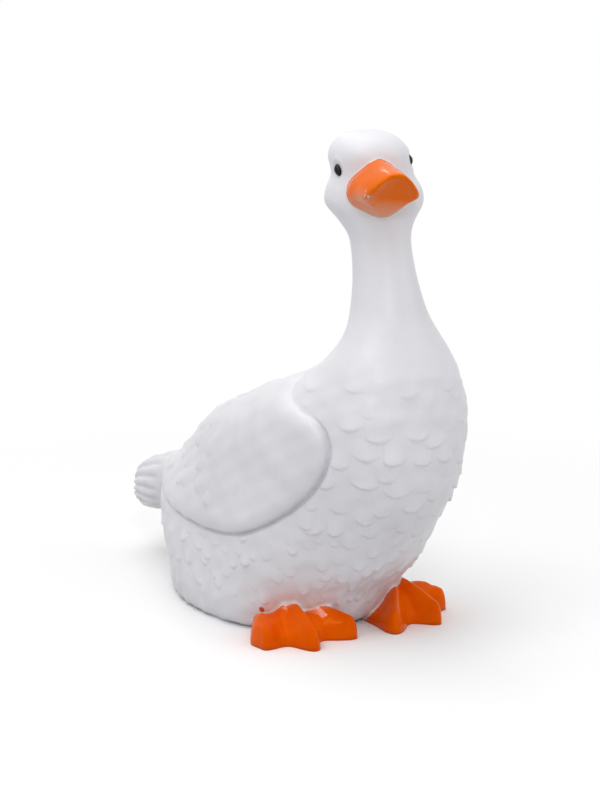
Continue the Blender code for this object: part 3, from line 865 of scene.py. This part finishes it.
def orange_colour(n):
    """Deep orange in soft patches, pale under the bill as a painted reflection of the floor, with a painted
    sheen and specks at the bill's rim.
    """
    patches = n.span(n.noise(ORANGE_SCALE), *ORANGE_PATCHES)
    orange = n.mix(patches, linear(ORANGE_PAINT), linear(ORANGE_DEEP))
    height = n.add("ShaderNodeSeparateXYZ", {0: n.place()}).outputs["Z"]
    on_bill = n.span(height, *BILL_FROM)
    orange = n.mix(n.times(on_bill, BILL_SHARE), orange, linear(ORANGE_BILL))
    # Painted reflection: the bill turns pale salmon towards its bottom, standing in for the white floor's
    # reflection
    uneven = n.math("ADD", height, n.spread(n.noise(REFLECTION_SCALE), -REFLECTION_UNEVEN, REFLECTION_UNEVEN))
    painted_reflection = n.times(n.times(n.span(uneven, *BILL_PAINTED_REFLECTION), on_bill), REFLECTION_SHARE)
    # Painted sheen: a pale patch near the rim's left end, standing in for a reflection of the white room
    painted_sheen = n.times(n.span(n.distance(PAINTED_SHEEN_AT), *PAINTED_SHEEN_REACH), n.spread(n.noise(PAINTED_SHEEN_SCALE), *PAINTED_SHEEN_SHARES))
    orange = n.mix(n.math("MAXIMUM", painted_reflection, painted_sheen), orange, linear(PAINTED_SHEEN_ORANGE))
    speckled = n.span(n.noise(SPECK_SCALE, 1.0), *SPECK_EDGE)
    specks = n.times(speckled, n.span(n.distance(SPECKS_AT), *SPECKS_REACH))
    return n.mix(specks, orange, linear(WHITE_DULL))


def white_colour(n, patches, feet):
    """Cool white in faint patches, with an orange tint above the feet, partly overspray and partly painted
    bounce light, and one drop of orange.
    """
    white = n.mix(n.span(patches, *WHITE_PATCHES), linear(WHITE_PAINT), linear(WHITE_DULL))
    # Orange tint fading up from the feet: partly overspray, partly painted bounce light from the orange feet
    near = n.math("POWER", n.span(feet, SPRAY_AND_BOUNCE_REACH, SPRAY_AND_BOUNCE_START), SPRAY_AND_BOUNCE_FADE)
    spray_and_bounce = n.times(near, n.span(n.noise(SPRAY_AND_BOUNCE_SCALE, 4.0), *SPRAY_AND_BOUNCE_PATCHES, *SPRAY_AND_BOUNCE_SHARES))
    white = n.mix(spray_and_bounce, white, linear(BLUSH_AND_PAINTED_BOUNCE))
    return n.mix(n.span(n.distance(DRIP_AT), *DRIP_REACH), white, linear(DRIP))


def brushed(n, grain, share):
    """Share of the shallow unevenness of sprayed paint over a cast skin."""
    (grain_strength, grain_depth), (skin_strength, skin_depth) = GRAIN_BUMP, SKIN_BUMP
    skin = n.bump(n.noise(SKIN_SCALE), skin_strength * share, skin_depth)
    return n.bump(grain, grain_strength * share, grain_depth, skin)


def white_paint():
    """White, with the edges of the orange."""
    n = Nodes(bpy.data.materials.new("white_paint"))
    patches, grain = n.noise(PATCH_SCALE, 4.0), n.noise(GRAIN_SCALE, 3.0, 0.6)
    on_bill, on_feet, feet = paint_masks(n)
    share = n.math("MAXIMUM", on_bill, on_feet)
    rough = n.blend(share, n.spread(patches, *WHITE_ROUGH), n.spread(grain, *ORANGE_ROUGH))
    colour = n.mix(share, white_colour(n, patches, feet), orange_colour(n))
    return n.finish_with(Base_Color=colour, Roughness=rough, Normal=brushed(n, grain, 1.0))


def orange_paint():
    n = Nodes(bpy.data.materials.new("orange_paint"))
    grain = n.noise(GRAIN_SCALE, 3.0, 0.6)
    n.finish_with(Specular_Tint=ORANGE_TINT, Specular_IOR_Level=ORANGE_GLEAM)
    rough = n.spread(grain, *ORANGE_ROUGH)
    skin = brushed(n, grain, ORANGE_SMOOTHER)
    return n.finish_with(Base_Color=orange_colour(n), Roughness=rough, Normal=skin)


def eye_paint():
    n = Nodes(bpy.data.materials.new("eye_paint"))
    colour = n.mix(n.noise(BLACK_SCALE), linear(BLACK_PAINT), linear(BLACK_WORN))
    rough = n.spread(n.noise(GLEAM_SCALE), *BLACK_ROUGH)
    return n.finish_with(Base_Color=colour, Roughness=rough, Specular_IOR_Level=BLACK_GLEAM)


def painted(target, *materials):
    target.data.materials.clear()
    for material in materials:
        target.data.materials.append(material)
    target.data.shade_smooth()


def split_paint(target):
    """Give the second material to every face that lies well inside the orange."""
    mesh = target.data
    deep = np.zeros(len(mesh.vertices), bool)
    for name, border in ORANGE_BORDERS.items():
        depth = np.empty(len(mesh.vertices))
        mesh.attributes[name].data.foreach_get("value", depth)
        deep |= depth > border
    corners = np.empty(len(mesh.polygons) * 3, int)
    mesh.polygons.foreach_get("vertices", corners)
    mesh.polygons.foreach_set("material_index", deep[corners.reshape(-1, 3)].all(1).astype(int))
    mesh.update()


def casting_shape():
    solids = {"body": body(), "bill": bill(), "tail": tail(), "left": foot(1), "right": foot(-1)}
    trees = {
        "body": tree_of(solids["body"]),
        "bill": tree_of(solids["bill"]),
        "feet": (tree_of(solids["left"]), tree_of(solids["right"])),
    }
    made = joined(list(solids.values()))
    made.name = "duck_casting"
    applied(made, "REMESH", mode="VOXEL", voxel_size=SHELL_GRAIN)
    applied(made, "SMOOTH", factor=0.5, iterations=SHELL_SMOOTHING)
    carve(made, trees)
    applied(made, "TRIANGULATE")
    applied(made, "DECIMATE", ratio=TRIANGLES_KEPT / len(made.data.polygons))
    flat_base(made)
    keep_depths(made, trees)
    return made


# The photograph's viewpoint: degrees round the statue and above it, distance, and the point it circles,
# how far right of and below that point it aims, sensor and focal length in millimetres
VIEW_ROUND, VIEW_ABOVE = math.radians(-38), math.radians(12)
VIEW_DISTANCE, VIEW_MIDDLE = 1.40, Vector((0, 0, 0.155))
AIM_RIGHT, AIM_BELOW = 0.0169, 0.0235
SENSOR, LENS = 36, 99.27


def camera():
    flat = math.cos(VIEW_ABOVE)
    back = Vector((math.sin(VIEW_ROUND) * flat, -math.cos(VIEW_ROUND) * flat, math.sin(VIEW_ABOVE)))
    right = Vector((math.cos(VIEW_ROUND), math.sin(VIEW_ROUND), 0))
    eye_point = VIEW_MIDDLE + back * VIEW_DISTANCE
    target = VIEW_MIDDLE + right * AIM_RIGHT - back.cross(right) * AIM_BELOW
    back = (eye_point - target).normalized()
    right = Vector((0, 0, 1)).cross(back).normalized()
    data = bpy.data.cameras.new("camera")
    data.sensor_fit = "AUTO"
    data.sensor_width = SENSOR
    data.lens = LENS
    made = bpy.data.objects.new("camera", data)
    bpy.context.scene.collection.objects.link(made)
    axes = Matrix((right, back.cross(right), back)).transposed()
    made.matrix_world = Matrix.Translation(eye_point) @ axes.to_4x4()
    bpy.context.scene.camera = made


# Square lamps, as name, place, side and power, all aimed at one point
LAMPS = (
    ("key", (-0.75, -0.20, 1.40), 0.8, 5.5),
    ("top", (0.00, 0.35, 1.50), 1.0, 4.9),
    ("front", (-0.85, -1.20, 1.00), 0.3, 3.0),
    ("fill", (0.90, -1.20, 0.80), 1.0, 3.0),
    ("rim", (0.51, 1.10, 0.98), 0.22, 0.5),
)
LAMP_TARGET = Vector((0, 0, 0.15))

# Room and floor: the room's light, the floor's colours for bounced light and for what is seen,
# how far out the floor fades to plain white, and half its side
WORLD_LIGHT = 0.575
FLOOR_BOUNCE, FLOOR_SEEN = (0.60, 0.60, 0.61, 1), (1.0, 1.0, 1.0, 1)
FLOOR_FADE = (0.26, 0.50)
FLOOR_HALF = 6
FLOOR_GLEAM, FLOOR_ROUGH = 0.1, 0.9


def lamp(name, place, side, power):
    data = bpy.data.lights.new(name, "AREA")
    data.shape = "RECTANGLE"
    data.size = data.size_y = side
    data.energy = power
    made = bpy.data.objects.new(name, data)
    bpy.context.scene.collection.objects.link(made)
    made.location = place
    made.rotation_mode = "QUATERNION"
    made.rotation_quaternion = (LAMP_TARGET - Vector(place)).to_track_quat("-Z", "Y")


def floor_paper():
    """White paper that shows the shadow near the statue and is plain white farther out."""
    n = Nodes(bpy.data.materials.new("floor_paper"))
    seen = n.white_room_rays()
    colour = n.mix(seen, FLOOR_BOUNCE, FLOOR_SEEN)
    n.finish_with(Base_Color=colour, Roughness=FLOOR_ROUGH, Specular_IOR_Level=FLOOR_GLEAM)
    plain = n.add("ShaderNodeEmission", {"Color": WHITE, "Strength": 1.0}).outputs[0]
    away = n.times(seen, n.span(n.distance((0, 0, 0)), *FLOOR_FADE))
    mixed = n.add("ShaderNodeMixShader", {0: away, 1: n.shader.outputs[0], 2: plain}).outputs[0]
    n.put(n.tree.nodes["Material Output"].inputs["Surface"], mixed)
    return n.owner


def studio():
    """Soft light from above and from the left, in a white room over a white floor."""
    world = bpy.data.worlds.new("studio")
    bpy.context.scene.world = world
    n = Nodes(world)
    room = n.tree.nodes["Background"]
    n.put(room.inputs["Strength"], n.blend(n.white_room_rays(), WORLD_LIGHT, 1.0))
    n.put(room.inputs["Color"], WHITE)
    for settings in LAMPS:
        lamp(*settings)

    bm = bmesh.new()
    bmesh.ops.create_grid(bm, x_segments=1, y_segments=1, size=FLOOR_HALF)
    mesh = bpy.data.meshes.new("floor")
    bm.to_mesh(mesh)
    bm.free()
    mesh.materials.append(floor_paper())
    floor = bpy.data.objects.new("floor", mesh)
    bpy.context.scene.collection.objects.link(floor)


def main():
    bpy.context.scene.view_settings.view_transform = "Standard"
    camera()
    studio()
    casting = casting_shape()
    eyes = [eye(-1), eye(1)]
    for made, name in zip(eyes, ("eye_right", "eye_left")):
        made.name = name
    fit_to_frame(casting, eyes)
    painted(casting, white_paint(), orange_paint())
    split_paint(casting)
    black = eye_paint()
    for made in eyes:
        painted(made, black)
    for made in (casting, *eyes):
        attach(made, "root")
    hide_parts("duck_statue")


main()
